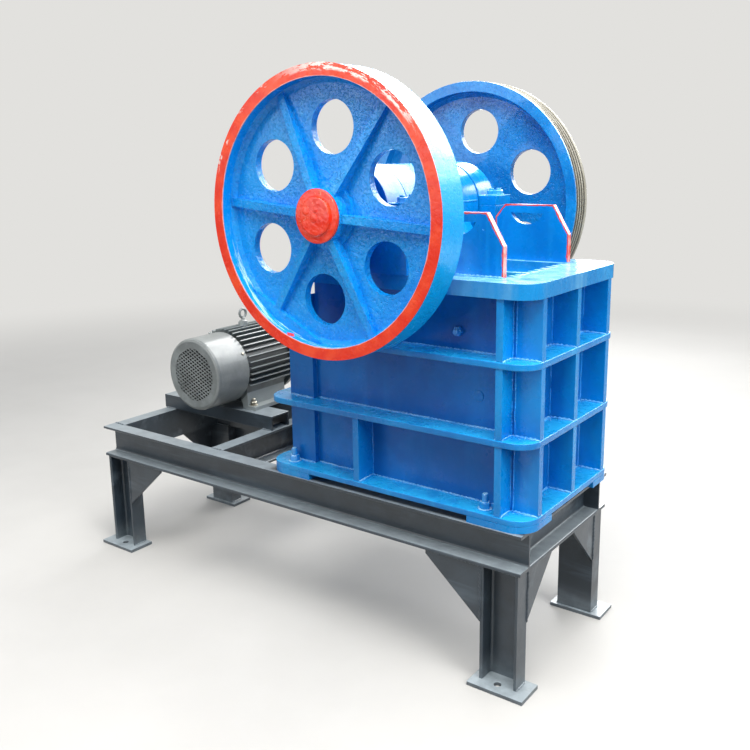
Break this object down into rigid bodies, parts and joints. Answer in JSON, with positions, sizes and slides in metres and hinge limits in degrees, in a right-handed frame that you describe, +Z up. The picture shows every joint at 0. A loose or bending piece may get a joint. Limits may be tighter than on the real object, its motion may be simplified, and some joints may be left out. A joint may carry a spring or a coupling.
{
  "type": "jaw crusher on stand",
  "caption": "Jaw crusher with two flywheels on a channel-steel stand, with its electric motor on slide rails.",
  "frame": {"origin": "centre of the stand's footprint, on the floor", "axes": "+X to the end with the fixed jaw, -Y to the side of the plain flywheel, +Z up"},
  "size_m": [1.576, 0.778, 1.472],
  "materials": {
    "blue_paint": "gloss brushed enamel",
    "stand_paint": "satin grey-green primer",
    "bare_steel": "turned steel",
    "jaw_steel": "cast manganese steel",
    "red_paint": "gloss brushed enamel",
    "motor_paint": "grey-green enamel",
    "cowl_paint": "silver enamel",
    "guard_paint": "grey enamel"
  },
  "bodies": {
    "frame": {"base_flange": "blue_paint", "base_pads": "blue_paint", "bearing_caps": "blue_paint", "bearing_housings": "blue_paint", "cheek_plates": "blue_paint", "deck_plate": "blue_paint", "fixed_jaw_plate": "jaw_steel", "foot_plates": "stand_paint", "front_ribs": "blue_paint", "front_wall": "blue_paint", "leg_far_front": "stand_paint", "leg_far_rear": "stand_paint", "leg_gussets": "stand_paint", "leg_near_front": "stand_paint", "leg_near_rear": "stand_paint", "lower_band_flange": "blue_paint", "motor_end_shield": "motor_paint", "motor_eyebolt": "cowl_paint", "motor_fan_cowl": "cowl_paint", "motor_fan_guard": "guard_paint", "motor_frame": "motor_paint", "motor_pulley": "motor_paint", "motor_rails": "stand_paint", "motor_shaft": "bare_steel", "motor_terminal_box": "motor_paint", "rear_wall": "blue_paint", "side_liners": "jaw_steel", "side_ribs": "blue_paint", "side_wall_far": "blue_paint", "side_wall_near": "blue_paint", "stand_beam_far": "stand_paint", "stand_beam_near": "stand_paint", "stand_cross_channel": "stand_paint", "stand_end_channels": "stand_paint", "swing_jaw": "blue_paint", "swing_jaw_plate": "jaw_steel", "tension_rod": "bare_steel", "tension_spring": "bare_steel", "toggle_plate": "bare_steel", "toggle_seat": "blue_paint", "upper_band_flange": "blue_paint"},
    "shaft": {"eccentric_shaft": "bare_steel", "flywheel_near": "blue_paint", "flywheel_far": "blue_paint", "shaft_end_caps": "red_paint"}
  },
  "joints": [
    {"name": "shaft_spin", "type": "hinge", "parent": "frame", "child": "shaft", "pos_m": [0.289, 0, 1.132], "axis": [0, 1, 0], "continuous": true}
  ]
}
